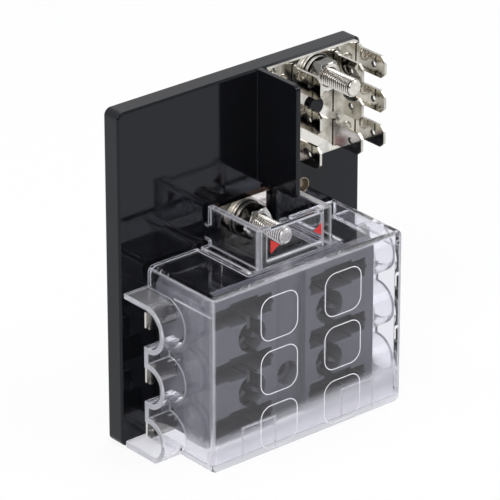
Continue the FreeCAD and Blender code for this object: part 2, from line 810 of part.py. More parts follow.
def tunnel_outline(sketch, radius, z, low, start, axis):
    """A wire tunnel's section: open to the plate, round at its crown, flat where the base cuts it."""
    radius = size_of(radius)
    centre = (y_at(axis), z)
    top = z + radius
    floor = z - radius
    if size_of(low).number > floor.number:
        drop = z - low
        run = math.sqrt(radius.number ** 2 - drop.number ** 2)
        floor = size_of(low)
    else:
        run = 0.0
        low = floor
    cx, cz, r = centre[0].number, centre[1].number, radius.number
    a = Vector(y_at(start).number, floor.number, 0)
    b = Vector(cx - run, floor.number, 0)
    c = Vector(cx, top.number, 0)
    d = Vector(y_at(start).number, top.number, 0)
    crown = Part.Arc(b, Vector(cx - r, cz, 0), c)
    base = sketch.addGeometry(Part.LineSegment(a, b), False)
    arc = sketch.addGeometry(crown, False)
    roof = sketch.addGeometry(Part.LineSegment(c, d), False)
    back = sketch.addGeometry(Part.LineSegment(d, a), False)
    # The arc runs anticlockwise, so its first end is at the roof.
    sketch.addConstraint(Sketcher.Constraint("Coincident", base, 2, arc, 2))
    sketch.addConstraint(Sketcher.Constraint("Coincident", arc, 1, roof, 1))
    sketch.addConstraint(Sketcher.Constraint("Coincident", roof, 2, back, 1))
    sketch.addConstraint(Sketcher.Constraint("Coincident", back, 2, base, 1))
    pin(sketch, arc, 3, centre[0], centre[1])
    pin(sketch, back, 1, y_at(start), top)
    pin(sketch, back, 2, y_at(start), floor)
    held = sketch.addConstraint(Sketcher.Constraint("Radius", arc, r))
    sketch.setExpression(f"Constraints[{held}]", radius.text)
    sketch.addConstraint(Sketcher.Constraint("Vertical", arc, 1, arc, 3))
    if run:
        sketch.addConstraint(Sketcher.Constraint("Horizontal", base))
    else:
        sketch.addConstraint(Sketcher.Constraint("Vertical", arc, 2, arc, 3))


def make_cover():
    body = new_body("cover")
    start = size_of(1.1)
    sketch = front_sketch(body, start)
    rounded(sketch, -half_cover, half_cover, 0, cover_height, 2)
    pad(body, sketch, cover_reach - start)
    soften(body, cover_round, lambda box, edge: at(box.YMin, y_at(cover_reach)) and at(box.YMax, y_at(cover_reach)))
    tunnels = [z - tunnel_drop for z in rows]
    # The top tunnel's upper half is wider, and its roof runs back to the plate as a shelf.
    wide_axis = tunnel_axis + tunnel_outer - tunnel_roof
    roof = tunnels[2] + tunnel_roof

    def tunnel_forms(inward, base, behind):
        """The sections of the three tunnels and of the top one's wider half, a wall's thickness further in."""
        forms = [(tunnel_outer - inward, z, base, tunnel_axis) for z in tunnels]
        forms.append((tunnel_roof - inward, tunnels[2], tunnels[2] - 0.1, wide_axis))
        for radius, z, low, axis in forms:
            sketch = side_sketch(body, 0)
            tunnel_outline(sketch, radius, z, low, behind, axis)
            yield sketch

    sketch = side_sketch(body, 0)
    rectangle(sketch, y_at(skirt_inside + tunnel_wall), y_at(seat_gap), size_of(0), roof)
    pad(body, sketch, tunnel_span, both=True)
    for sketch in tunnel_forms(0, size_of(0), skirt_inside):
        pad(body, sketch, tunnel_span, both=True)
    sketch = front_sketch(body, cover_reach - cover_wall)
    rectangle(sketch, cover_wall - half_cover, half_cover - cover_wall, cover_wall, cover_height - cover_wall)
    pocket(body, sketch, cover_reach)
    sketch = side_sketch(body, 0)
    rectangle(sketch, y_at(skirt_inside), y_at(-1), cover_wall, roof - tunnel_wall)
    pocket(body, sketch, tunnel_span + 2, both=True)
    for sketch in tunnel_forms(tunnel_wall, cover_wall, skirt_inside - 1):
        pocket(body, sketch, tunnel_span + 2, both=True)

    # Opening in the top for the latch tongue.
    half = tongue_width / 2 + tongue_slot
    sketch = sketch_on(body, "XY_Plane", cover_height + 1)
    rectangle(sketch, -half, half, y_at(hood_reach + tongue_root + 0.2), y_at(-1))
    pocket(body, sketch, cover_wall + 2)

    # Two plain square outlines at the front's lower edge.
    sketch = front_sketch(body, cover_reach)
    for side in sides:
        low, high = (11.5, 23.1) if side > 0 else (-23.1, -11.5)
        outline(sketch, [(low, 1.6), (low + 0.4, 1.6), (low + 0.4, 10.4), (high - 0.4, 10.4), (high - 0.4, 1.6),
                         (high, 1.6), (high, 10.8), (low, 10.8)])
    made = pocket(body, sketch, 0.2)

    # A fine moulded line round both sides, level with the tunnels' roof.
    level = roof + 0.6
    for side in sides:
        sketch = side_sketch(body, half_cover * side)
        rectangle(sketch, y_at(cover_reach), y_at(12), level - 0.2, level + 0.2)
        made = pocket(body, sketch, 0.25)
        made.Reversed = side < 0
        doc.recompute()
    return body


def make_latch_hood():
    """The hood over the positive stud, on a springy tongue with two hooks."""
    half = hood_width / 2
    tongue = block(-tongue_width / 2, tongue_width / 2, 1.1, hood_reach, cover_height - cover_wall, cover_height)
    walls = block(-half, half, 1.1, hood_reach, cover_height - 0.5, hood_top)
    hooks = []
    for side in sides:
        near, far = (half - cover_wall) * side, half * side
        low, high = (near, far) if side > 0 else (far, near)
        hooks.append(block(low, high, -2.3, 2, 52.4, 56.9))
    inner = block(cover_wall - half, half - cover_wall, -1, hood_reach - cover_wall, cover_height - cover_wall - 1, hood_top + 1)
    panel = block(-half + 3, half - 3, hood_reach - 0.7, hood_reach + 1, cover_height + 1.4, hood_top - 1.2)
    dip = block(-half + 4.2, half - 4.2, hood_reach - 4, hood_reach + 1, hood_top - 0.9, hood_top + 1)
    shell = without(joined([tongue, walls]), [inner, panel, dip])
    return finish(joined([shell] + hooks), "latch_hood")


make_housing()
make_back_cover()
make_negative_busbar()
make_tab_pairs()
make_rivets()
make_fastening("negative", bus_middle, negative_z)
make_positive_busbar()
make_fastening("positive", size_of(0), supply_z)
make_supply_clips()
make_load_terminals()
make_eyelet()
make_cover()
make_latch_hood()
doc.recompute()

# Every object is sound before anything is written.
faults = [thing for thing in doc.Objects if "Invalid" in thing.State or "Error" in thing.State]
for thing in faults:
    owners = [owner.Label for owner in thing.InListRecursive if owner in nodes]
    print(f"{thing.Name} did not build, in {owners}")
if faults:
    raise RuntimeError(f"{len(faults)} objects did not build")
os.makedirs("parts", exist_ok=True)
for thing in nodes:
    if thing.Shape.isNull() or not thing.Shape.isValid():
        raise RuntimeError(f"{thing.Label} has no sound shape")
    thing.Shape.exportStep(f"parts/{thing.Label}.step")
    box = thing.Shape.BoundBox
    print(f"{thing.Label:24s} solids {len(thing.Shape.Solids)} volume {thing.Shape.Volume:9.1f}  "
          f"X {box.XMin:7.2f} {box.XMax:7.2f}  Y {box.YMin:7.2f} {box.YMax:7.2f}  Z {box.ZMin:7.2f} {box.ZMax:7.2f}")
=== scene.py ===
# %% [markdown]
# A blade fuse block, dressed for its picture. The solids come from the CAD model and stay where they are;
# this script gives them finishes, adds the small turned and printed pieces that the solids leave plain,
# and sets up the table, the lamps and the camera. The frame is in metres: X right, Y back, Z up. Sizes on
# the block itself are written in millimetres, as a maker would.

# %% Load the frame
import math

import bmesh
import bpy
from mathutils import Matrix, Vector


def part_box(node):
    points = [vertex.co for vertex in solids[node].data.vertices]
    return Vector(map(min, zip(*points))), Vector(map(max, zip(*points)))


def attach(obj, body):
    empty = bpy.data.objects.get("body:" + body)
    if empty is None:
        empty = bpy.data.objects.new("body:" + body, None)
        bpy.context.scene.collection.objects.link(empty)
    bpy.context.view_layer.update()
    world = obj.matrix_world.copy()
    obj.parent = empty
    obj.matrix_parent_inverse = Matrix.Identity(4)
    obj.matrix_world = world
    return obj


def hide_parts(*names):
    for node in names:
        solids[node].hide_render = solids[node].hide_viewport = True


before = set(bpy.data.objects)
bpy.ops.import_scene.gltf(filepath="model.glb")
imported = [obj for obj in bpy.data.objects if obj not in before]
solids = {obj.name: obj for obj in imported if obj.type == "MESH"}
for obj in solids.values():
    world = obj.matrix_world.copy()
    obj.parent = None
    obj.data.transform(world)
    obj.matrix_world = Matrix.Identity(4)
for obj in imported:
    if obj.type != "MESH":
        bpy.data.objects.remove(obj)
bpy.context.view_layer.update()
MM = 0.001

# %% [markdown]
# Most sizes on a moulded block are counted from one face. Here that is the front face of the mounting
# plate, so a small helper turns "so many millimetres forward of the plate" into the Y of the frame.

# %% Measure from the plate
plate_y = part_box("negative_busbar")[1].y


def forward(distance):
    """Y, in metres, of a place so many millimetres forward of the plate's front."""
    return plate_y - distance * MM


print("plate's front face at Y =", round(plate_y / MM, 2), "mm")

# %% [markdown]
# The photograph was taken with a long lens, from the upper left. A long lens keeps the block's edges
# nearly parallel. The direction and the distance were worked out from the corners of the plate and of the
# cover; the sideways and upward shift places the block in the square picture as it stands there.

# %% Camera
turn, rise = math.radians(-40.18), math.radians(25.40)
distance, sideways, upward = 1.07136, -0.00754, 0.0045
aim = Vector((0, -0.00405, 0.046))
back = Vector((math.sin(turn) * math.cos(rise), -math.cos(turn) * math.cos(rise), math.sin(rise)))
right = Vector((math.cos(turn), math.sin(turn), 0))
up = right.cross(-back)
lens = bpy.data.cameras.new("camera")
lens.lens, lens.sensor_width = 291.57, 36
lens.clip_start, lens.clip_end = 0.05, 20
camera = bpy.data.objects.new("camera", lens)
camera.location = aim + back * distance + right * sideways + up * upward
camera.rotation_mode = "QUATERNION"
camera.rotation_quaternion = (-back).to_track_quat("-Z", "Y")
bpy.context.scene.collection.objects.link(camera)
bpy.context.scene.camera = camera
print("camera at", [round(v, 3) for v in camera.location])

# %% [markdown]
# A material and the world are both trees of shader nodes. Wiring a tree node by node takes many lines, so
# the steps that come back are helpers: empty a tree, do a sum, keep the largest of several values, mix two
# shaders, and send the result to the output.

# %% First shader helpers
def shader_tree(owner):
    """The emptied node tree of a material or a world."""
    owner.use_nodes = True
    owner.node_tree.nodes.clear()
    return owner.node_tree


def calc(tree, operation, *values):
    """One sum on a math node; each value is a number or a socket."""
    node = tree.nodes.new("ShaderNodeMath")
    node.operation = operation
    for socket, value in zip(node.inputs, values):
        if isinstance(value, (int, float)):
            socket.default_value = value
        else:
            tree.links.new(value, socket)
    return node.outputs[0]


def times(tree, total, *values):
    """The product of several values."""
    for value in values:
        total = calc(tree, "MULTIPLY", total, value)
    return total


def larger(tree, total, *values):
    """The largest of several values."""
    for value in values:
        total = calc(tree, "MAXIMUM", total, value)
    return total


def mix_shaders(tree, factor, first, second):
    """The first shader where the factor is 0 and the second where it is 1."""
    mix = tree.nodes.new("ShaderNodeMixShader")
    for socket, value in zip(mix.inputs, (factor, first, second)):
        tree.links.new(value, socket)
    return mix.outputs[0]


def show(tree, shader, kind="Material"):
    """Send a shader to the tree's output."""
    out = tree.nodes.new(f"ShaderNodeOutput{kind}")
    tree.links.new(shader, out.inputs["Surface"])


print("shader helpers ready")

# %% [markdown]
# A product shot on white needs two things at once: a background that reaches white, and a table that still
# takes a soft shadow. The Light Path node tells a shader which kind of ray asks. The table is mostly plain
# light for the rays that the camera or a clear plastic sends out, a slightly darker light for what a mirror
# sees, and an ordinary matt white for all others, which carry its shadow.

# %% Table
def plain_light(tree, kind, strength, colour=(1.0, 1.0, 1.0)):
    """Light that is the same everywhere, from a surface (Emission) or from the world (Background)."""
    light = tree.nodes.new(f"ShaderNode{kind}")
    light.inputs["Color"].default_value = (*colour, 1)
    light.inputs["Strength"].default_value = strength
    return light.outputs[0]


def ray_share(tree, **shares):
    """The largest share among the kinds of ray that this ray is."""
    path = tree.nodes.new("ShaderNodeLightPath")
    return larger(tree, *[times(tree, path.outputs[f"Is {kind} Ray"], share) for kind, share in shares.items()])


def make_table(half=3.0, below=0.0002):
    """A square sheet, a hair below the block so that the two don't share a plane."""
    mesh = bpy.data.meshes.new("table")
    corners = [(-half, -half, 0), (half, -half, 0), (half, half, 0), (-half, half, 0)]
    mesh.from_pydata(corners, [], [(0, 1, 2, 3)])
    table = bpy.data.objects.new("table", mesh)
    table.location.z = -below
    bpy.context.scene.collection.objects.link(table)
    white = bpy.data.materials.new("table_white")
    tree = shader_tree(white)
    matt = tree.nodes.new("ShaderNodeBsdfDiffuse")
    matt.inputs["Color"].default_value = (0.86, 0.86, 0.87, 1)
    glow, reflected = plain_light(tree, "Emission", 1.0), plain_light(tree, "Emission", 0.85)
    seen = mix_shaders(tree, ray_share(tree, Glossy=0.85), matt.outputs[0], reflected)
    show(tree, mix_shaders(tree, ray_share(tree, Camera=0.86, Transmission=0.86), seen, glow))
    mesh.materials.append(white)
    return table


print("table:", make_table().name)

# %% [markdown]
# The world lights the block from all round at a modest level, and is the white sheet that the camera sees.
# Mirrors see a brighter sheet behind the block and overhead, and a dark room in front of the table: that
# step from bright to dark is what gives polished metal and black plastic their shape.

# %% World
SHEET = (0.8, 0.8, 0.8)


def eased(tree, value, start, stop):
    """0 at start and 1 at stop, with a soft way between them."""
    ramp = tree.nodes.new("ShaderNodeMapRange")
    ramp.interpolation_type = "SMOOTHSTEP"
    ramp.inputs["From Min"].default_value = start
    ramp.inputs["From Max"].default_value = stop
    tree.links.new(value, ramp.inputs["Value"])
    return ramp.outputs[0]


def light_world():
    world = bpy.data.worlds.new("studio")
    tree = shader_tree(world)
    plain = plain_light(tree, "Background", 0.42, (0.95, 0.97, 1.0))
    bright, dim = plain_light(tree, "Background", 1.0, SHEET), plain_light(tree, "Background", 0.1, SHEET)
    direction = tree.nodes.new("ShaderNodeTexCoord")
    parts = tree.nodes.new("ShaderNodeSeparateXYZ")
    tree.links.new(direction.outputs["Generated"], parts.inputs[0])
    # The room is to the -Y side and not overhead.
    room = times(tree, eased(tree, parts.outputs["Y"], -0.1, -0.5), eased(tree, parts.outputs["Z"], 0.85, 0.6))
    mirrored = mix_shaders(tree, room, bright, dim)
    seen = mix_shaders(tree, ray_share(tree, Glossy=0.95), plain, mirrored)
    show(tree, mix_shaders(tree, ray_share(tree, Camera=1.0, Transmission=1.0), seen, bright), "World")
    return world


bpy.context.scene.world = light_world()
bpy.context.scene.view_settings.view_transform = "Standard"
print("world:", bpy.context.scene.world.name)

# %% [markdown]
# Three large soft lamps do the work: one above and to the left, as in the photograph, where the cover's left
# wall and the tabs' left faces are lit, a weaker one from the right, and one overhead and a little behind.
# Large lamps give polished plastic long soft highlights in place of hard spots.

# %% Lamps
def soft_lamp(name, place, target, size, power):
    light = bpy.data.lights.new(name, "AREA")
    light.shape, light.size, light.size_y = "RECTANGLE", size[0], size[1]
    light.energy = power
    lamp = bpy.data.objects.new(name, light)
    lamp.location = place
    lamp.rotation_mode = "QUATERNION"
    lamp.rotation_quaternion = (Vector(target) - Vector(place)).to_track_quat("-Z", "Y")
    bpy.context.scene.collection.objects.link(lamp)
    return lamp


middle = (0, 0, 0.045)
soft_lamp("lamp_left", (-0.75, -0.45, 0.85), middle, (0.7, 0.7), 7.0)
soft_lamp("lamp_right", (0.85, -0.6, 0.7), middle, (0.6, 0.6), 3.0)
soft_lamp("lamp_top", (0.05, 0.25, 1.1), middle, (0.9, 0.5), 5.5)

# %% [markdown]
# Every finish below starts from the same few steps: a new material with one Principled shader, a noise that
# lives in the object's own space, a helper that carries the noise to another range, and one that mixes two
# colours by it. The same noise then moves the roughness and pushes the surface in and out a little.

# %% Helpers for finishes
def new_finish(name, colour, roughness, metallic=0.0):
    material = bpy.data.materials.new(name)
    tree = shader_tree(material)
    shader = tree.nodes.new("ShaderNodeBsdfPrincipled")
    shader.inputs["Base Color"].default_value = (*colour, 1)
    shader.inputs["Roughness"].default_value = roughness
    shader.inputs["Metallic"].default_value = metallic
    return material, tree, shader


def noise(tree, scale, detail=3.0, stretch=(1, 1, 1)):
    """A noise in the object's own space; a larger scale gives finer grain."""
    place = tree.nodes.new("ShaderNodeTexCoord")
    mapping = tree.nodes.new("ShaderNodeMapping")
    mapping.inputs["Scale"].default_value = stretch
    texture = tree.nodes.new("ShaderNodeTexNoise")
    texture.inputs["Scale"].default_value = scale
    texture.inputs["Detail"].default_value = detail
    tree.links.new(place.outputs["Object"], mapping.inputs["Vector"])
    tree.links.new(mapping.outputs[0], texture.inputs["Vector"])
    return texture.outputs["Fac"]


def spread(tree, value, low, high, start=0.3, stop=0.7):
    """Carry a value from the range start to stop, by default a noise's own, to the range low to high."""
    ramp = tree.nodes.new("ShaderNodeMapRange")
    for name, limit in (("From Min", start), ("From Max", stop), ("To Min", low), ("To Max", high)):
        ramp.inputs[name].default_value = limit
    tree.links.new(value, ramp.inputs["Value"])
    return ramp.outputs[0]


def blend(tree, factor, first, second):
    """Mix two colours, each a plain colour or a socket."""
    mix = tree.nodes.new("ShaderNodeMix")
    mix.data_type = "RGBA"
    tree.links.new(factor, mix.inputs["Factor"])
    for socket, value in ((mix.inputs[6], first), (mix.inputs[7], second)):
        if isinstance(value, tuple):
            socket.default_value = (*value, 1)
        else:
            tree.links.new(value, socket)
    return mix.outputs[2]


print("colour helpers ready")

# %% [markdown]
# Bump adds relief that is too fine to model, and a Bevel node under it softens the edges of the solid as a
# mould or a press does. A finish is given to a CAD solid through its object's material slots, so the mesh
# itself isn't touched.

# %% Relief, and dressing a solid
def softened_normal(tree, radius):
    """The surface's normal with its edges rounded by a radius in millimetres."""
    rounding = tree.nodes.new("ShaderNodeBevel")
    rounding.samples = 4
    rounding.inputs["Radius"].default_value = radius * MM
    return rounding.outputs[0]


def finish_off(tree, shader, colour, roughness, height, depth, edge=0.0):
    """Feed colour, roughness and bump to a shader and show it; depth and edge are in millimetres."""
    tree.links.new(colour, shader.inputs["Base Color"])
    tree.links.new(roughness, shader.inputs["Roughness"])
    bump = tree.nodes.new("ShaderNodeBump")
    bump.inputs["Strength"].default_value = 1.0
    bump.inputs["Distance"].default_value = depth * MM
    tree.links.new(height, bump.inputs["Height"])
    if edge:
        tree.links.new(softened_normal(tree, edge), bump.inputs["Normal"])
    tree.links.new(bump.outputs[0], shader.inputs["Normal"])
    return shader.outputs[0]


def dress(material, *names):
    """Give a finish to CAD solids through their own material slots."""
    for name in names:
        for place in solids[name].material_slots:
            place.link = "OBJECT"
            place.material = material


print("relief ready")

# %% [markdown]
# One piece may have more than one finish: a moulding polished here and blasted there, a tab that is dark in
# its holes. Such places are told by the point's own coordinates, in the object and never in the picture. The
# helpers give those in millimetres and make soft-ended masks of them, from 0 to 1.

# %% Helpers for masks
def block_place(tree):
    """The point's X, its distance forward of the plate, and its Z, all in millimetres."""
    place = tree.nodes.new("ShaderNodeTexCoord")
    parts = tree.nodes.new("ShaderNodeSeparateXYZ")
    tree.links.new(place.outputs["Object"], parts.inputs[0])
    x, y, z = parts.outputs
    ahead = calc(tree, "MULTIPLY_ADD", y, -1 / MM, plate_y / MM)
    return times(tree, x, 1 / MM), ahead, times(tree, z, 1 / MM)


def faces_panel(tree):
    """1 on faces that look straight forward or back, and 0 on those that look along the panel."""
    place = tree.nodes.new("ShaderNodeTexCoord")
    parts = tree.nodes.new("ShaderNodeSeparateXYZ")
    tree.links.new(place.outputs["Normal"], parts.inputs[0])
    return calc(tree, "ABSOLUTE", parts.outputs["Y"])


def apart(tree, first, second):
    return calc(tree, "ABSOLUTE", calc(tree, "SUBTRACT", first, second))


def between(tree, value, low, high, soft=0.02):
    """1 where a value lies from low to high, with soft ends."""
    return times(tree, spread(tree, value, 0, 1, low - soft, low + soft),
                 spread(tree, value, 1, 0, high - soft, high + soft))


def off_axis(tree, first, second, centre):
    """Distance of a point from an axis, from two of its coordinates."""
    a, b = calc(tree, "SUBTRACT", first, centre[0]), calc(tree, "SUBTRACT", second, centre[1])
    return calc(tree, "SQRT", calc(tree, "MULTIPLY_ADD", a, a, times(tree, b, b)))


print("mask helpers ready")

# %% [markdown]
# The housing is injection-moulded black plastic with a polished face: it mirrors the dividing wall that
# stands on it. A polished plastic is nearly black in itself, and what the eye sees is the reflection. A
# slow noise makes that reflection swim a little, as mould flow does, and a fine one adds faint dust. The
# fuse body's front came from a blasted part of the mould: it scatters light and looks slate grey, and the
# slots for the fuses in it are painted darker, as painted shade.

# %% Black moulding
POLISHED, DUSTY = (0.0046, 0.0048, 0.0062), (0.018, 0.018, 0.02)
SLATE, PALE_SLATE, SLOT_SHADE = (0.092, 0.094, 0.110), (0.112, 0.114, 0.132), (0.056, 0.057, 0.065)
BODY_FRONT, BODY_TOP = 19.9, 47.4
COLUMN_INNER, COLUMN_OUTER = 5.3, 29.3


def slot_shade_depths(tree, x, ahead):
    """1 in the depth of the slots, where shade is painted: behind the body's front and within its two columns
    of fuses.
    """
    across = calc(tree, "ABSOLUTE", x)
    return times(tree, spread(tree, ahead, 1, 0, BODY_FRONT - 1.0, BODY_FRONT - 0.6),
                 spread(tree, across, 0, 1, COLUMN_INNER, COLUMN_INNER + 0.2),
                 spread(tree, across, 1, 0, COLUMN_OUTER - 0.3, COLUMN_OUTER))


def black_moulding():
    material, tree, shader = new_finish("black_moulding", POLISHED, 0.08)
    shader.inputs["IOR"].default_value = 1.39
    shader.inputs["Specular Tint"].default_value = (0.86, 0.90, 1.0, 1)
    flow, dust = noise(tree, 45, 2), noise(tree, 5000, 3)
    x, ahead, z = block_place(tree)
    blasted = times(tree, between(tree, ahead, 1.0, BODY_FRONT), between(tree, z, 0.0, BODY_TOP))
    polished = blend(tree, spread(tree, dust, 0, 1, 0.68, 0.76), POLISHED, DUSTY)
    slate = blend(tree, spread(tree, dust, 0, 1), SLATE, PALE_SLATE)
    # Painted shade: the depth of the slots is darker.
    slate = blend(tree, slot_shade_depths(tree, x, ahead), slate, SLOT_SHADE)
    roughness = calc(tree, "ADD", spread(tree, flow, 0.05, 0.1), times(tree, blasted, 0.4))
    show(tree, finish_off(tree, shader, blend(tree, blasted, polished, slate), roughness, flow, 0.03, 0.3))
    return material


dress(black_moulding(), "housing")
print("housing dressed")

# %% [markdown]
# The back cover is a plain sheet of plastic that insulates the live parts from the panel. Nobody polishes
# it, so it is duller than the housing, with the fine even grain that a sheet gets from its rollers.

# %% Back cover
def back_sheet():
    material, tree, shader = new_finish("back_sheet", (0.02, 0.02, 0.022), 0.5)
    grain, cloud = noise(tree, 1400, 5), noise(tree, 60, 3)
    colour = blend(tree, spread(tree, cloud, 0, 1), (0.016, 0.016, 0.018), (0.03, 0.03, 0.032))
    show(tree, finish_off(tree, shader, colour, spread(tree, grain, 0.42, 0.62), grain, 0.04, 0.3))
    return material


dress(back_sheet(), "back_cover")
print("back cover dressed")

# %% [markdown]
# The conducting parts are nickel-plated: a warm, bright metal. Rolled sheet shows fine lines along the
# rolling direction, which is a noise stretched a long way one way. Handling leaves soft cloudy marks, and
# a mask darkens the places where little light gets in: the walls of the tabs' holes, and the load tabs
# behind their tips, deep in the wire tunnels.

# %% Nickel plate
# The tone of painted shade, laid where little light gets in.
PAINTED_SHADE = (0.035, 0.033, 0.03)
TAB_HOLE_AHEAD, TAB_HOLE_ROWS = 8.3, (71.5, 81.5, 91.5)
SIX = range(1, 7)


def nickel(name, colour, rough, lines=(1, 1, 14), worn=(0.60, 0.56, 0.50), shade=None):
    """Nickel plate; shade(tree) gives a mask of the places where shade is painted."""
    material, tree, shader = new_finish(name, colour, rough, 1.0)
    rolled, marks = noise(tree, 2500, 2, lines), noise(tree, 160, 3)
    tone = blend(tree, spread(tree, marks, 0, 1, 0.45, 0.68), colour, worn)
    if shade:
        # Painted shade where the mask says so.
        tone = blend(tree, shade(tree), tone, PAINTED_SHADE)
    roughness = spread(tree, rolled, rough * 0.6, rough * 1.5)
    show(tree, finish_off(tree, shader, tone, roughness, rolled, 0.002, 0.12))
    return material


def tab_holes(tree):
    """The walls of the round holes in the tabs are in shadow."""
    _, ahead, z = block_place(tree)
    return larger(tree, *[spread(tree, off_axis(tree, ahead, z, (TAB_HOLE_AHEAD, row)), 1, 0, 0.88, 0.98)
                          for row in TAB_HOLE_ROWS])


def behind_tips(tree):
    """Only the tip of a load tab is bright; the rest lies in the shadow of its tunnel."""
    x = block_place(tree)[0]
    tip = max(abs(corner.x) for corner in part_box("load_terminal_1")) / MM
    return spread(tree, calc(tree, "ABSOLUTE", x), 0.7, 0, tip - 0.2, tip - 0.1)


dress(nickel("nickel_sheet", (0.86, 0.84, 0.79), 0.06, worn=(0.46, 0.44, 0.40)), "negative_busbar")
dress(nickel("nickel_tab", (0.74, 0.72, 0.67), 0.05, (1, 1, 10), (0.44, 0.42, 0.38), tab_holes),
      *[f"negative_tab_pair_{i}" for i in SIX])
dress(nickel("clip_metal", (0.72, 0.70, 0.66), 0.09, (1, 8, 1), (0.62, 0.60, 0.56), behind_tips),
      *[f"{kind}_{i}" for kind in ("supply_clip", "load_terminal") for i in SIX])
dress(nickel("eyelet_metal", (0.28, 0.24, 0.19), 0.12, (1, 6, 1), (0.16, 0.13, 0.10)), "mounting_eyelet")
print("nickel-plated parts dressed")

# %% [markdown]
# The positive busbar is copper sheet, plated before it was punched, so its cut edges show copper red. The
# edges are the faces that look neither forward nor back, which the object's own normal tells. Its foot
# stands in the dark between the moulding's walls.

# %% Copper with plated faces
FOOT_DARK, FOOT_LIT = 54.8, 58.0


def plated_copper():
    material, tree, shader = new_finish("nickel_copper", (0.80, 0.75, 0.68), 0.17, 1.0)
    rolled, marks = noise(tree, 2500, 2, (14, 1, 1)), noise(tree, 140, 4)
    cloudy = spread(tree, marks, 0, 1)
    copper = blend(tree, cloudy, (0.50, 0.27, 0.17), (0.36, 0.19, 0.12))
    plate = blend(tree, cloudy, (0.74, 0.71, 0.66), (0.60, 0.56, 0.50))
    z = block_place(tree)[2]
    # Painted shade: the plate is darker towards its foot, between the moulding's walls.
    plate = blend(tree, spread(tree, z, 0.8, 0, FOOT_DARK, FOOT_LIT), plate, PAINTED_SHADE)
    colour = blend(tree, spread(tree, faces_panel(tree), 0, 1, 0.4, 0.6), copper, plate)
    show(tree, finish_off(tree, shader, colour, spread(tree, rolled, 0.04, 0.08), marks, 0.003, 0.1))
    return material


dress(plated_copper(), "positive_busbar")
print("positive busbar dressed")

# %% [markdown]
# The cover and the hood are clear polycarbonate: a glass-like shader with a trace of violet. Clear plastic
# is never clear all over. Where the eye looks along a wall, at an edge or a rim, light from all round
# gathers and the plastic looks bright. A renderer shows those places black here, because the light there
# comes from the black plate, so masks paint that glow on, turning part of the glass to white along them.

# %% Painted glow on the cover
COVER_HALF, COVER_FRONT, COVER_TOP = 33.2, 27.4, 51.5
TUNNEL_MOUTH, TUNNEL_ROOF, RIM, RIGHT_EDGE = 40.3, 44.8, 2.6, 31.75
LABEL_COLUMNS, LABEL_ROWS = (-10.2, 12.0), (7.7, 23.8, 39.6)
LABEL_HALF, LABEL_CORNER = 6.3, 3.4


def step(tree, value, place, soft, before=0.0, after=1.0):
    """Go from one level to another where a value passes a place."""
    return spread(tree, value, before, after, place - soft, place + soft)


def lowest_outlines(tree, x, z):
    """0 on the lines of the two lowest label squares and 1 elsewhere, to keep them clear of the rim's painted
    glow.
    """
    left, right = LABEL_COLUMNS
    column = apart(tree, x, (left + right) / 2)
    straight = LABEL_HALF - LABEL_CORNER
    side = calc(tree, "SUBTRACT", apart(tree, column, (right - left) / 2), straight)
    rise = calc(tree, "SUBTRACT", apart(tree, z, LABEL_ROWS[0]), straight)
    reach = off_axis(tree, larger(tree, side, 0.0), larger(tree, rise, 0.0), (0.0, 0.0))
    return spread(tree, apart(tree, reach, LABEL_CORNER), 0, 1, 0.12, 0.18)


def box_edges(tree, across, ahead, z):
    """A faint glow where two faces of the cover's box meet: two of the three gaps are small there."""
    gaps = [apart(tree, value, end)
            for value, end in ((across, COVER_HALF), (ahead, COVER_FRONT), (z, COVER_TOP))]
    total = calc(tree, "ADD", gaps[0], calc(tree, "ADD", gaps[1], gaps[2]))
    return spread(tree, calc(tree, "SUBTRACT", total, larger(tree, *gaps)), 0.20, 0, 0.3, 1.2)


def cover_bands(tree, x, ahead, z):
    """Painted glow on the box's edges, its rim and right edge, the tunnels' mouths and roof, and as a faint
    haze on the tunnels.
    """
    across = calc(tree, "ABSOLUTE", x)
    outer = larger(tree, step(tree, across, COVER_HALF - 0.3, 0.1), step(tree, ahead, COVER_FRONT - 0.3, 0.1))
    rim = times(tree, outer, step(tree, z, RIM, 0.3, 0.85, 0.0), lowest_outlines(tree, x, z),
                step(tree, across, COVER_HALF + 0.6, 0.2, 1.0, 0.4))
    right = times(tree, step(tree, ahead, COVER_FRONT - 0.2, 0.1), step(tree, x, RIGHT_EDGE, 0.15, 0.0, 0.75))
    mouth = step(tree, across, TUNNEL_MOUTH, 0.1, 0.0, 0.36)
    haze = step(tree, across, COVER_HALF + 0.5, 0.3, 0.0, 0.012)
    roof = times(tree, step(tree, z, TUNNEL_ROOF, 0.2, 0.0, 0.16), step(tree, across, COVER_HALF + 0.7, 0.3))
    return larger(tree, box_edges(tree, across, ahead, z), rim, mouth, haze, roof, right)


print("label squares at X", LABEL_COLUMNS, "Z", LABEL_ROWS)

# %% [markdown]
# The hood is open at the top, and its rim is cut square, so it glows all the way round. Its two front
# corners are solid plastic and catch light too. Hood and cover are two mouldings that meet in a seam at the
# root of the tongue. A gap as thin as that seam would render as a dark line, so it is made see-through.

# %% Painted glow on the hood, and the seam
HOOD_HALF, HOOD_FRONT, HOOD_TOP = 12.6, 21.7, 62.3
ROOT_SEAM = ((-16.4, 16.4), (21.66, 22.06), (49.6, 51.45))


def hood_bands(tree, x, ahead, z):
    """The painted glow of the hood's top rim and of its two front corners."""
    side = apart(tree, calc(tree, "ABSOLUTE", x), HOOD_HALF)
    corner = calc(tree, "ADD", side, apart(tree, ahead, HOOD_FRONT))
    return larger(tree, step(tree, z, HOOD_TOP, 0.1, 0.0, 0.28), spread(tree, corner, 0.24, 0, 0.3, 1.8))


def at_seam(tree, *place):
    """1 in the seam, where both end faces let light through as one piece of plastic does."""
    return times(tree, *[between(tree, value, low, high) for value, (low, high) in zip(place, ROOT_SEAM)])


print("seam at Z", ROOT_SEAM[2])
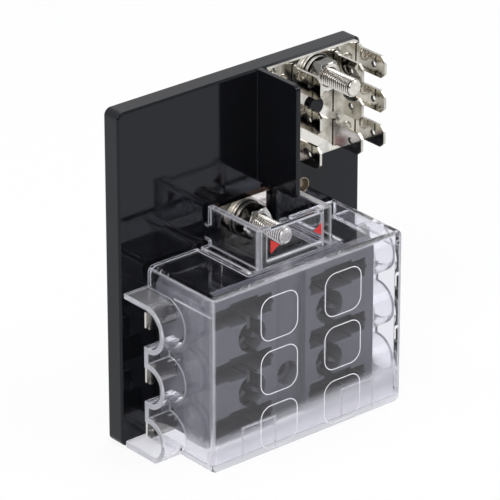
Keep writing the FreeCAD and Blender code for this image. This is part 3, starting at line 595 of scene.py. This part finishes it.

# %% [markdown]
# Near the table the cover looks pale: its inner faces mirror the white table, and the slate grey behind
# fades out in the last centimetre. A clean glass shader can't show that, because its mirror image is faint,
# so a pale layer on those inner faces, a painted reflection, takes its place. It is brightest at the foot.

# %% Painted reflection at the cover's foot
REFLECTION_START, REFLECTION_FULL, REFLECTION_LEAN = 11.8, 5.6, 0.045
INNER_FRONT, INNER_SIDE = (25.2, 26.2), (30.9, 31.7)
FOOT_WHITE, FOOT_GREY = (0.86, 0.85, 0.90), (0.50, 0.50, 0.55)


def painted_reflection_layer(tree, x, ahead, z, strength):
    """The painted reflection on the inner faces of the front and the sides; it reaches higher on the right."""
    leaning = calc(tree, "SUBTRACT", z, times(tree, x, REFLECTION_LEAN))
    rise = times(tree, eased(tree, leaning, REFLECTION_START, REFLECTION_FULL), strength)
    front = between(tree, ahead, *INNER_FRONT)
    side = times(tree, between(tree, calc(tree, "ABSOLUTE", x), *INNER_SIDE), 0.6)
    return times(tree, larger(tree, front, side), rise)


def foot_tone(tree, z, layer, edge_tone):
    """The colour of the painted glow: lighter in the painted reflection and at the rim than elsewhere."""
    low = blend(tree, spread(tree, z, 0, 1, 1.0, 6.0), FOOT_WHITE, FOOT_GREY)
    lit = larger(tree, spread(tree, layer, 0, 1, 0.0, 0.04), step(tree, z, RIM + 0.4, 0.1, 1.0, 0.0))
    return blend(tree, lit, edge_tone, low)


print("mist from Z", REFLECTION_START, "down to", REFLECTION_FULL, "mm")

# %% [markdown]
# Now the masks meet in one finish. The surface is a little wavy, so reflections and what lies behind bend
# softly. Along sharp edges the softened normal leaves the true one, and that difference is one more mask of
# painted glow. A clear part would also cast a hard black shadow, so rays on their way to a lamp pass straight
# through it.

# %% Clear plastic
def near_edges(tree, radius, gain):
    """Close to gain along sharp edges, where the softened normal leaves the true one."""
    true = tree.nodes.new("ShaderNodeNewGeometry")
    dot = tree.nodes.new("ShaderNodeVectorMath")
    dot.operation = "DOT_PRODUCT"
    tree.links.new(softened_normal(tree, radius), dot.inputs[0])
    tree.links.new(true.outputs["Normal"], dot.inputs[1])
    return spread(tree, dot.outputs["Value"], gain, 0, 0.82, 0.998)


def clear_plastic(name, tint, bands, edge_width, edge_share, edge_tone, painted_reflection=None):
    material, tree, shader = new_finish(name, tint, 0.01)
    shader.inputs["IOR"].default_value = 1.36
    wave, haze = noise(tree, 55, 1.5), noise(tree, 420, 4)
    x, ahead, z = block_place(tree)
    # Painted glow: along edges and bands the glass turns to a pale colour in place of the light gathered there.
    painted_glow = larger(tree, near_edges(tree, edge_width, edge_share), bands(tree, x, ahead, z))
    if painted_reflection:
        # Painted reflection of the white table on the inner faces near the foot.
        layer = painted_reflection_layer(tree, x, ahead, z, painted_reflection)
        painted_glow = larger(tree, painted_glow, layer)
        edge_tone = foot_tone(tree, z, layer, edge_tone)
    tree.links.new(calc(tree, "SUBTRACT", 1.0, painted_glow), shader.inputs["Transmission Weight"])
    roughness = spread(tree, haze, 0.0, 0.015, 0.45, 0.75)
    plastic = finish_off(tree, shader, blend(tree, painted_glow, tint, edge_tone), roughness, wave, 0.012, 0.4)
    path = tree.nodes.new("ShaderNodeLightPath")
    through = larger(tree, path.outputs["Is Shadow Ray"], at_seam(tree, x, ahead, z))
    open_way = tree.nodes.new("ShaderNodeBsdfTransparent")
    open_way.inputs["Color"].default_value = (0.95, 0.95, 0.97, 1)
    show(tree, mix_shaders(tree, through, plastic, open_way.outputs[0]))
    return material


# The colour of the painted glow.
EDGE_TONE = (0.55, 0.55, 0.62)
dress(clear_plastic("clear_plastic", (0.94, 0.94, 0.975), cover_bands, 0.8, 0.65, EDGE_TONE, 0.94), "cover")
dress(clear_plastic("clear_hood", (0.92, 0.92, 0.965), hood_bands, 1.0, 0.7, EDGE_TONE), "latch_hood")
print("clear parts dressed")

# %% [markdown]
# A new piece is made from points in the block's own measures, so one helper turns them into an object.

# %% A new piece
def add_piece(name, vertices, faces, material, body, replaced=None, smooth_angle=32):
    """Make one object from points in millimetres (X, forward, Z) and let it ride on a body."""
    mesh = bpy.data.meshes.new(name)
    mesh.from_pydata([(x * MM, forward(n), z * MM) for x, n, z in vertices], [], faces)
    shape = bmesh.new()
    shape.from_mesh(mesh)
    bmesh.ops.remove_doubles(shape, verts=shape.verts, dist=1e-7)
    bmesh.ops.recalc_face_normals(shape, faces=shape.faces)
    shape.to_mesh(mesh)
    shape.free()
    mesh.shade_smooth()
    mesh.set_sharp_from_angle(angle=math.radians(smooth_angle))
    mesh.materials.append(material)
    piece = bpy.data.objects.new(name, mesh)
    bpy.context.scene.collection.objects.link(piece)
    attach(piece, body)
    if replaced:
        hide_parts(replaced)
    return piece


print("piece helper ready")

# %% [markdown]
# Turned parts such as washers, rivets and nuts are all a profile swept round an axis. One helper builds
# such a ring of quads: it takes a function that gives radius and forward distance at each step round and
# each step along the profile, so a hexagon or a screw thread is only a radius that changes on the way.

# %% Turning helpers
def around(centre, radius, angle, ahead):
    """The point at a radius and an angle round a forward axis."""
    return centre[0] + radius * math.cos(angle), ahead, centre[1] + radius * math.sin(angle)


def strip(first, second, count, closed=True):
    """Quads between two rows of count points, whose numbers start at first and at second."""
    return [(first + i, first + (i + 1) % count, second + (i + 1) % count, second + i)
            for i in range(count if closed else count - 1)]


def turned(steps, count, at, centre, closed_profile=True):
    """Points and quads of a shape swept round the axis through centre, in millimetres.

    at(i, angle) gives (radius, forward) of profile step i."""
    vertices, faces = [], []
    for j in range(steps):
        angle = 2 * math.pi * j / steps
        for i in range(count):
            radius, ahead = at(i, angle)
            vertices.append(around(centre, radius, angle, ahead))
        faces += strip(j * count, (j + 1) % steps * count, count, closed_profile)
    return vertices, faces


def corners_eased(corners, ease, arc=3):
    """Round the corners of a closed outline."""
    made = []
    for i, point in enumerate(corners):
        here = Vector(point)
        before = Vector(corners[i - 1]) - here
        after = Vector(corners[(i + 1) % len(corners)]) - here
        cut = min(ease, before.length / 2.2, after.length / 2.2)
        start, stop = here + before.normalized() * cut, here + after.normalized() * cut
        for k in range(arc + 1):
            t = k / arc
            made.append(tuple(start * (1 - t) ** 2 + here * 2 * t * (1 - t) + stop * t ** 2))
    return made


print("turning helpers ready")

# %% [markdown]
# The two studs are M5: a thread of 0.8 mm pitch on a steel shank, plated like the rest. The crests are
# polished by the nuts that run over them, and the roots are painted dark, as painted shade. One finish
# does both, by the distance from the stud's axis.

# %% Stud finish
PITCH, STUD, THREAD_DEPTH = 0.8, 2.5, 0.5
STUD_BACK, STUD_TIP = -2.8, 17.7
STUDS = {"negative": (24.0, 91.5), "positive": (0.0, 56.0)}


def stud_steel(name, centre):
    material, tree, shader = new_finish(f"stud_steel_{name}", (0.74, 0.70, 0.66), 0.2, 1.0)
    marks = noise(tree, 900, 3)
    crest = blend(tree, spread(tree, marks, 0, 1), (0.90, 0.87, 0.82), (0.72, 0.68, 0.63))
    x, ahead, z = block_place(tree)
    # Painted shade in the roots of the thread.
    root = times(tree, spread(tree, off_axis(tree, x, z, centre), 1, 0, 2.12, 2.38),
                 between(tree, ahead, STUD_BACK + 0.4, STUD_TIP - 0.4, 0.1))
    colour = blend(tree, root, crest, (0.05, 0.045, 0.045))
    show(tree, finish_off(tree, shader, colour, spread(tree, marks, 0.14, 0.3), marks, 0.004))
    return material


print("studs at", STUDS)

# %% [markdown]
# The thread is real geometry, because its crests catch the light one by one. The radius follows a rounded V
# that climbs by one pitch each turn, and fades out into a small bevel at the tip. Behind the plate each
# stud ends in its hexagon head.

# %% Threaded studs
AROUND, STEPS_PER_PITCH = 56, 10
CREST_SHARE, FLANK_SHARE = 0.10, 0.74
TIP_BEVEL, TIP_FLAT, TIP_HOLLOW, NEAR_AXIS = 0.62, 1.2, 0.05, 0.0001
HEAD_RADIUS = 4 / math.cos(math.pi / 6)


def thread_depth(turns):
    """0 at the crest and 1 at the root of a thread whose flanks are 60 degrees apart."""
    ridge = abs(2 * (turns % 1.0) - 1)
    return min(1.0, max(0.0, (ridge - CREST_SHARE) / FLANK_SHARE))


def make_stud(name, centre):
    count = int((STUD_TIP - STUD_BACK) / PITCH * STEPS_PER_PITCH)

    def at(i, angle):
        ahead = STUD_BACK + (STUD_TIP - STUD_BACK) * i / (count - 1)
        radius = STUD - THREAD_DEPTH * thread_depth(ahead / PITCH - angle / (2 * math.pi))
        bevel = STUD - TIP_BEVEL + max(0.0, STUD_TIP - ahead)
        return min(radius, bevel), ahead

    vertices, faces = turned(AROUND, count, at, centre, closed_profile=False)
    # The tip closes in a slightly hollow end.
    end = len(vertices)
    for j in range(AROUND):
        angle, k = 2 * math.pi * j / AROUND, (j + 1) % AROUND
        vertices += [around(centre, TIP_FLAT, angle, STUD_TIP),
                     around(centre, NEAR_AXIS, angle, STUD_TIP - TIP_HOLLOW)]
        faces.append((j * count + count - 1, k * count + count - 1, end + 2 * k, end + 2 * j))
        faces.append((end + 2 * j, end + 2 * k, end + 2 * k + 1, end + 2 * j + 1))
    # The head is a plain hexagonal prism.
    start = len(vertices)
    head_back = (plate_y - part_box(f"{name}_stud")[1].y) / MM
    for ahead in (head_back, STUD_BACK):
        vertices += [around(centre, HEAD_RADIUS, math.pi / 3 * k, ahead) for k in range(6)]
    faces += [tuple(range(start, start + 6)), tuple(range(start + 6, start + 12))] + strip(start, start + 6, 6)
    return add_piece(f"{name}_stud_threaded", vertices, faces, stud_steel(name, centre), "base",
                     f"{name}_stud", 40)


for name, centre in STUDS.items():
    piece = make_stud(name, centre)
    print(piece.name, len(piece.data.polygons), "faces")

# %% [markdown]
# Each stud carries a flat washer, a split spring washer and a hexagon nut. They are steel, duller than the
# sheet parts, with painted shadow in the narrow gaps where one meets the next. A nut's flats are painted
# darker than its chamfers, as painted shade.

# %% Washer and nut finishes
GAPS = (1.2, 2.2, 3.5)


def washer_gap_shade(tree):
    # Painted shade in the narrow gaps where one washer meets the next.
    ahead = block_place(tree)[1]
    return larger(tree, *[between(tree, ahead, gap - 0.11, gap + 0.11, 0.04) for gap in GAPS])


def nut_flat_shade(tree):
    # Painted shade: the nut's hexagon flats are darker than its chamfers.
    return spread(tree, faces_panel(tree), 0.76, 0, 0.1, 0.3)


washer_finish = nickel("washer_steel", (0.80, 0.78, 0.73), 0.32, (1, 1, 1), (0.5, 0.48, 0.44), washer_gap_shade)
spring_finish = nickel("spring_steel", (0.74, 0.72, 0.68), 0.34, (1, 1, 1), (0.4, 0.39, 0.36), washer_gap_shade)
nut_finish = nickel("nut_steel", (0.80, 0.78, 0.74), 0.14, (1, 1, 1), (0.55, 0.53, 0.49), nut_flat_shade)
print("finishes:", washer_finish.name, spring_finish.name, nut_finish.name)

# %% [markdown]
# Washers are a small rectangle swept round the stud. Their edges are eased by a sixth of a millimetre,
# because a real stamped or pressed edge never shows as a knife line: the thin bright rim is what makes them
# read as metal. The spring washer is a bar bent round the stud, with a slanting gap between its ends.

# %% Washers
SIDES, WASHER_EASE = 72, 0.16
SPLIT_START, SPLIT_SWEEP, SPLIT_SLANT = math.radians(6), math.radians(346), 0.16
SPRING_RADIUS, SPRING_AHEAD = 3.6, 2.85


def washer_outline(inner, outer, low, high):
    return corners_eased([(inner, low), (outer, low), (outer, high), (inner, high)], WASHER_EASE)


def make_flat_washer(name, centre):
    profile = washer_outline(inner=2.7, outer=4.98, low=1.2, high=2.2)
    vertices, faces = turned(SIDES, len(profile), lambda i, angle: profile[i], centre)
    return add_piece(f"{name}_washer_stamped", vertices, faces, washer_finish, f"{name}_washers",
                     f"{name}_flat_washer")


def make_spring_washer(name, centre):
    profile = washer_outline(inner=2.68, outer=4.58, low=2.22, high=3.48)
    count = len(profile)
    vertices, faces = [], []
    for j in range(SIDES + 1):
        for radius, ahead in profile:
            slant = (ahead - SPRING_AHEAD) * SPLIT_SLANT * (SPRING_RADIUS / radius)
            vertices.append(around(centre, radius, SPLIT_START + slant + SPLIT_SWEEP * j / SIDES, ahead))
    for j in range(SIDES):
        faces += strip(j * count, (j + 1) * count, count)
    faces += [tuple(range(count)), tuple(range(SIDES * count, (SIDES + 1) * count))]
    return add_piece(f"{name}_washer_split", vertices, faces, spring_finish, f"{name}_washers",
                     f"{name}_spring_washer")


for name, centre in STUDS.items():
    made = [make_flat_washer(name, centre), make_spring_washer(name, centre)]
    print([(o.name, len(o.data.polygons)) for o in made])

# %% [markdown]
# A nut starts as a hexagonal prism, and a cone of 30 degrees turns off its corners at both faces. Swept
# round the axis, its radius is that of the flat or the corner, and the cone sets how far the rim drops.

# %% Nuts
NUT_LOW, NUT_HIGH, NUT_FLAT, NUT_BORE = 3.5, 7.5, 4.0, 2.56
NUT_CONE, LEAST_DROP = math.radians(30), 0.04


def nut_profile(i, angle):
    """Radius and forward distance of point i, of eight that go round the nut's section."""
    corner = NUT_FLAT / math.cos((angle % (math.pi / 3)) - math.pi / 6)
    face = NUT_FLAT * 0.95
    drop = max(LEAST_DROP, (corner - face) * math.tan(NUT_CONE))
    mouth, sunk = NUT_BORE + 0.3, 0.35
    rings = [(NUT_BORE, NUT_LOW + sunk), (mouth, NUT_LOW), (face, NUT_LOW), (corner, NUT_LOW + drop),
             (corner, NUT_HIGH - drop), (face, NUT_HIGH), (mouth, NUT_HIGH), (NUT_BORE, NUT_HIGH - sunk)]
    return rings[i]


for name, centre in STUDS.items():
    vertices, faces = turned(SIDES, 8, nut_profile, centre)
    piece = add_piece(f"{name}_nut_chamfered", vertices, faces, nut_finish, f"{name}_nut",
                      f"{name}_nut", 24)
    print(piece.name, len(piece.data.polygons), "faces")

# %% [markdown]
# Six rivets hold the tab pairs under the negative busbar. Each is a tube whose end was rolled outward, so
# its head is a rounded ring with a dark little well in the middle.

# %% Rivets
RIVET_SIDES = 40
RIVET_PROFILE = [(2.1, 1.21), (2.06, 1.42), (1.9, 1.58), (1.65, 1.67), (1.35, 1.70), (1.08, 1.66), (0.9, 1.56),
                 (0.82, 1.42), (0.8, 1.22), (0.001, 1.215)]


def make_rivets(material):
    low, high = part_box("negative_rivets")
    head, count = RIVET_PROFILE[0][0], len(RIVET_PROFILE)
    vertices, faces = [], []
    for x in (low.x / MM + head, high.x / MM - head):
        for z in (low.z / MM + head, (low.z + high.z) / 2 / MM, high.z / MM - head):
            points, quads = turned(RIVET_SIDES, count, lambda i, angle: RIVET_PROFILE[i], (x, z), False)
            shift = len(vertices)
            vertices += points
            faces += [tuple(shift + i for i in quad) for quad in quads]
            faces.append(tuple(shift + j * count for j in range(RIVET_SIDES)))
    return add_piece("rivet_heads_rolled", vertices, faces, material, "base",
                     "negative_rivets", 50)


rivets = make_rivets(nickel("rivet_metal", (0.76, 0.72, 0.66), 0.2, (1, 1, 1)))
print(rivets.name, len(rivets.data.polygons), "faces")

# %% [markdown]
# Two finishes are left, for the frosted lines of the label squares and for the red print. Both are one
# colour with a fine grain: the grain mixes a lighter and a darker tone, moves the roughness and gives the
# surface a tooth, so that neither looks like flat paint.

# %% Grained finishes
def grained(name, colour, scale, tones, roughness, depth):
    material, tree, shader = new_finish(name, colour, sum(roughness) / 2)
    grain = noise(tree, scale, 3)
    show(tree, finish_off(tree, shader, blend(tree, spread(tree, grain, 0, 1), *tones),
                          spread(tree, grain, *roughness), grain, depth))
    return material


frosted_line = grained("frosted_line", (0.9, 0.9, 0.93), 1500, ((0.95, 0.95, 0.97), (0.8, 0.8, 0.84)),
                       (0.4, 0.6), 0.01)
red_print = grained("red_print", (0.72, 0.02, 0.02), 2200, ((0.80, 0.03, 0.03), (0.55, 0.012, 0.012)),
                    (0.35, 0.55), 0.006)
print("finishes:", frosted_line.name, red_print.name)

# %% [markdown]
# The front of the cover has six rounded squares, one for each circuit's label. They are fine lines in the
# front wall, so a label can lie flat on it. A line is a half-round bead swept along a rounded square, just
# under the wall's outer face. It is frosted, and so it shows as a thin bright line on the clear plastic.

# %% Label outlines
LINE_HALF, LINE_DEEP = 0.135, 0.2


def rounded_square(centre, half, corner, arc=10):
    """Points (X, Z) round a square with rounded corners, with the way outward at each."""
    points = []
    for k, (sx, sz) in enumerate(((1, 1), (-1, 1), (-1, -1), (1, -1))):
        for j in range(arc + 1):
            angle = math.pi / 2 * (k + j / arc)
            points.append((centre[0] + sx * (half - corner) + corner * math.cos(angle),
                           centre[1] + sz * (half - corner) + corner * math.sin(angle),
                           math.cos(angle), math.sin(angle)))
    return points


def make_label_lines(material):
    face = COVER_FRONT - 0.02
    bead = [(-LINE_HALF, 0), (-LINE_HALF * 0.8, -LINE_DEEP * 0.6), (-LINE_HALF * 0.35, -LINE_DEEP),
            (LINE_HALF * 0.35, -LINE_DEEP), (LINE_HALF * 0.8, -LINE_DEEP * 0.6), (LINE_HALF, 0)]
    vertices, faces = [], []
    for centre in [(x, z) for x in LABEL_COLUMNS for z in LABEL_ROWS]:
        path = rounded_square(centre, LABEL_HALF, LABEL_CORNER)
        shift, count = len(vertices), len(bead)
        for j, (u, v, out_x, out_z) in enumerate(path):
            vertices += [(u + out_x * side, face + ahead, v + out_z * side) for side, ahead in bead]
            faces += strip(shift + j * count, shift + (j + 1) % len(path) * count, count)
    return add_piece("label_outlines", vertices, faces, material, "cover", None, 60)


lines = make_label_lines(frosted_line)
print(lines.name, len(lines.data.polygons), "faces")

# %% [markdown]
# Two red triangles are printed on the hood's front, pointing at each other. Printed ink is a film a few
# hundredths of a millimetre thick; here each is a thin plate with eased corners that lies on the panel.

# %% Red printed triangles
PANEL, FILM = 21.0, 0.04
TRIANGLE_REACH, TRIANGLE_ROWS = 3.1, (58.4, 56.4, 54.4)


def make_triangles(material):
    top, tip, foot = TRIANGLE_ROWS
    vertices, faces = [], []
    for way, base_x in ((1, -7.9), (-1, 10.1)):
        corners = [(base_x, top), (base_x + way * TRIANGLE_REACH, tip), (base_x, foot)]
        outline = corners_eased(corners, 0.25)
        start, count = len(vertices), len(outline)
        vertices += [(x, ahead, z) for ahead in (PANEL, PANEL + FILM) for x, z in outline]
        faces += [tuple(range(start, start + count)), tuple(range(start + count, start + 2 * count))]
        faces += strip(start, start + count, count)
    return add_piece("red_triangles", vertices, faces, material, "latch", None, 20)


triangles = make_triangles(red_print)
print(triangles.name, len(triangles.data.polygons), "faces")
